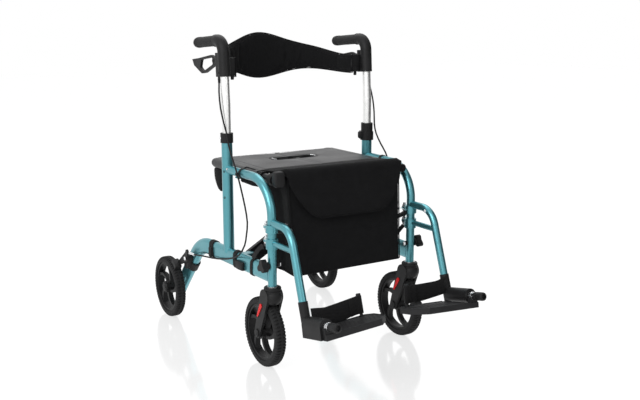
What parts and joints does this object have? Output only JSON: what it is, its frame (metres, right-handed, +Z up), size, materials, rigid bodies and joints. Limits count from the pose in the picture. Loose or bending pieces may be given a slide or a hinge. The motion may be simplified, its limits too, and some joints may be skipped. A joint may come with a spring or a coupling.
{
  "type": "rollator transport chair",
  "caption": "Folding walking frame on wheels that also serves as a chair, with a padded seat, under-seat bag, backrest band, loop brakes, swing-away hangers and flip-up footplates.",
  "frame": {"origin": "on the floor, under the middle of the outline", "axes": "+Z up, -Y towards the footrests at the front, +X towards the seated person's left"},
  "size_m": [0.6296, 1.0286, 0.925],
  "materials": {
    "teal_paint": "metallic gloss",
    "bright_tube": "satin",
    "steel_pin": "satin",
    "black_tube": "satin",
    "black_plastic": "satin",
    "grey_plastic": "matte",
    "grip_rubber": "matte",
    "tyre": "matte",
    "bag_fabric": "matte woven",
    "seat_cloth": "coated",
    "webbing": "woven",
    "reflector_red": "gloss"
  },
  "bodies": {
    "frame_right": {"side_rail_right": "teal_paint", "front_hoop_right": "teal_paint", "upright_right": "teal_paint", "upright_collar_right": "black_plastic", "rear_axle_right": "steel_pin", "brake_mount_right": "black_plastic", "brake_cable_right": "black_plastic"},
    "brace_a": {"brace_a": "black_tube", "cross_bolt": "steel_pin", "seat_rail_left": "black_tube"},
    "brace_b": {"brace_b": "black_tube", "seat_rail_right": "black_tube"},
    "frame_left": {"side_rail_left": "teal_paint", "front_hoop_left": "teal_paint", "upright_left": "teal_paint", "upright_collar_left": "black_plastic", "rear_axle_left": "steel_pin", "brake_mount_left": "black_plastic", "brake_cable_left": "black_plastic", "latch_clamp": "black_plastic"},
    "seat_left": {"seat_half_left": "seat_cloth"},
    "seat_right": {"seat_half_right": "seat_cloth"},
    "bag": {"bag": "bag_fabric"},
    "handle_right": {"handle_tube_right": "bright_tube", "handle_housing_right": "black_plastic", "grip_right": "grip_rubber", "backrest": "bag_fabric"},
    "lever_right": {"brake_lever_right": "black_plastic"},
    "brake_arm_right": {"brake_arm_right": "black_plastic"},
    "rear_wheel_right": {"rear_rim_right": "black_plastic", "rear_tyre_right": "tyre"},
    "castor_right": {"castor_fork_right": "black_plastic", "castor_pins_right": "steel_pin", "reflectors_right": "reflector_red"},
    "castor_wheel_right": {"castor_rim_right": "black_plastic", "castor_tyre_right": "tyre"},
    "hanger_right": {"hanger_right": "teal_paint", "foot_block_right": "black_plastic", "foot_pin_right": "steel_pin", "heel_strap_right": "webbing"},
    "footplate_right": {"footplate_right": "grey_plastic"},
    "knob_right": {"knob_right": "black_plastic"},
    "handle_left": {"handle_tube_left": "bright_tube", "handle_housing_left": "black_plastic", "grip_left": "grip_rubber"},
    "lever_left": {"brake_lever_left": "black_plastic"},
    "brake_arm_left": {"brake_arm_left": "black_plastic"},
    "rear_wheel_left": {"rear_rim_left": "black_plastic", "rear_tyre_left": "tyre"},
    "castor_left": {"castor_fork_left": "black_plastic", "castor_pins_left": "steel_pin", "reflectors_left": "reflector_red"},
    "castor_wheel_left": {"castor_rim_left": "black_plastic", "castor_tyre_left": "tyre"},
    "hanger_left": {"hanger_left": "teal_paint", "foot_block_left": "black_plastic", "foot_pin_left": "steel_pin", "heel_strap_left": "webbing"},
    "footplate_left": {"footplate_left": "grey_plastic"},
    "knob_left": {"knob_left": "black_plastic"}
  },
  "joints": [
    {"name": "fold", "type": "hinge", "parent": "frame_right", "child": "brace_a", "pos_m": [-0.21, -0.015, 0.29], "axis": [0, -1, 0], "range_deg": [0, 45], "deforming": ["backrest", "bag"]},
    {"name": "brace_cross", "type": "hinge", "parent": "brace_a", "child": "brace_b", "pos_m": [0, -0.015, 0.4115], "axis": [0, -1, 0], "range_deg": [-90, 0]},
    {"name": "left_frame_fold", "type": "hinge", "parent": "brace_b", "child": "frame_left", "pos_m": [0.21, -0.015, 0.29], "axis": [0, -1, 0], "range_deg": [0, 45]},
    {"name": "seat_left_fold", "type": "hinge", "parent": "brace_a", "child": "seat_left", "pos_m": [0.21, 0.075, 0.533], "axis": [0, -1, 0], "range_deg": [-135, 0]},
    {"name": "seat_right_fold", "type": "hinge", "parent": "brace_b", "child": "seat_right", "pos_m": [-0.21, 0.075, 0.533], "axis": [0, -1, 0], "range_deg": [0, 135]},
    {"name": "bag_hang", "type": "hinge", "parent": "brace_b", "child": "bag", "pos_m": [-0.21, -0.11, 0.533], "axis": [0, -1, 0], "range_deg": [0, 45]},
    {"name": "handle_slide_right", "type": "slide", "parent": "frame_right", "child": "handle_right", "axis": [0, 0, 1], "range_m": [-0.064, 0.024], "deforming": ["brake_cable_right"]},
    {"name": "lever_right", "type": "hinge", "parent": "handle_right", "child": "lever_right", "pos_m": [-0.24741, 0.12182, 0.847], "axis": [1, 0, 0], "range_deg": [0, 10], "stiffness_Nm_per_rad": 2},
    {"name": "brake_arm_right", "type": "hinge", "parent": "frame_right", "child": "brake_arm_right", "pos_m": [-0.29, 0.28929, 0.222], "axis": [-1, 0, 0], "range_deg": [0, 3]},
    {"name": "rear_wheel_right", "type": "hinge", "parent": "frame_right", "child": "rear_wheel_right", "pos_m": [-0.29441, 0.41429, 0.1], "axis": [1, 0, 0], "continuous": true},
    {"name": "castor_swivel_right", "type": "hinge", "parent": "frame_right", "child": "castor_right", "pos_m": [-0.238, -0.182, 0.246], "axis": [0, 0, 1], "continuous": true},
    {"name": "castor_wheel_right", "type": "hinge", "parent": "castor_right", "child": "castor_wheel_right", "pos_m": [-0.238, -0.135, 0.1], "axis": [1, 0, 0], "continuous": true},
    {"name": "hanger_swing_right", "type": "hinge", "parent": "frame_right", "child": "hanger_right", "pos_m": [-0.238, -0.182, 0.4], "axis": [0, 0, -1], "range_deg": [0, 90]},
    {"name": "footplate_flip_right", "type": "hinge", "parent": "hanger_right", "child": "footplate_right", "pos_m": [-0.238, -0.36123, 0.19], "axis": [0, -0.9781, 0.2079], "range_deg": [0, 85.5], "deforming": ["heel_strap_right"]},
    {"name": "knob_right", "type": "hinge", "parent": "frame_right", "child": "knob_right", "pos_m": [-0.238, -0.182, 0.304], "axis": [1, 0, 0], "continuous": true},
    {"name": "handle_slide_left", "type": "slide", "parent": "frame_left", "child": "handle_left", "axis": [0, 0, 1], "range_m": [-0.064, 0.024], "deforming": ["brake_cable_left"]},
    {"name": "lever_left", "type": "hinge", "parent": "handle_left", "child": "lever_left", "pos_m": [0.24741, 0.12182, 0.847], "axis": [1, 0, 0], "range_deg": [0, 10], "stiffness_Nm_per_rad": 2},
    {"name": "brake_arm_left", "type": "hinge", "parent": "frame_left", "child": "brake_arm_left", "pos_m": [0.29, 0.28929, 0.222], "axis": [-1, 0, 0], "range_deg": [0, 3]},
    {"name": "rear_wheel_left", "type": "hinge", "parent": "frame_left", "child": "rear_wheel_left", "pos_m": [0.29441, 0.41429, 0.1], "axis": [1, 0, 0], "continuous": true},
    {"name": "castor_swivel_left", "type": "hinge", "parent": "frame_left", "child": "castor_left", "pos_m": [0.238, -0.182, 0.246], "axis": [0, 0, 1], "continuous": true},
    {"name": "castor_wheel_left", "type": "hinge", "parent": "castor_left", "child": "castor_wheel_left", "pos_m": [0.238, -0.135, 0.1], "axis": [1, 0, 0], "continuous": true},
    {"name": "hanger_swing_left", "type": "hinge", "parent": "frame_left", "child": "hanger_left", "pos_m": [0.238, -0.182, 0.4], "axis": [0, 0, 1], "range_deg": [0, 90]},
    {"name": "footplate_flip_left", "type": "hinge", "parent": "hanger_left", "child": "footplate_left", "pos_m": [0.238, -0.36123, 0.19], "axis": [0, 0.9781, -0.2079], "range_deg": [0, 85.5], "deforming": ["heel_strap_left"]},
    {"name": "knob_left", "type": "hinge", "parent": "frame_left", "child": "knob_left", "pos_m": [0.238, -0.182, 0.304], "axis": [1, 0, 0], "continuous": true}
  ],
  "couplings": [
    {"joint": "brace_cross", "follows": "fold", "ratio": -2},
    {"joint": "left_frame_fold", "follows": "fold", "ratio": 1},
    {"joint": "seat_left_fold", "follows": "fold", "ratio": -3},
    {"joint": "seat_right_fold", "follows": "fold", "ratio": 3},
    {"joint": "bag_hang", "follows": "fold", "ratio": 1},
    {"joint": "brake_arm_right", "follows": "lever_right", "ratio": 0.3},
    {"joint": "footplate_flip_right", "follows": "fold", "ratio": 1.9},
    {"joint": "brake_arm_left", "follows": "lever_left", "ratio": 0.3},
    {"joint": "footplate_flip_left", "follows": "fold", "ratio": 1.9},
    {"joint": "handle_slide_left", "follows": "handle_slide_right", "ratio": 1}
  ]
}
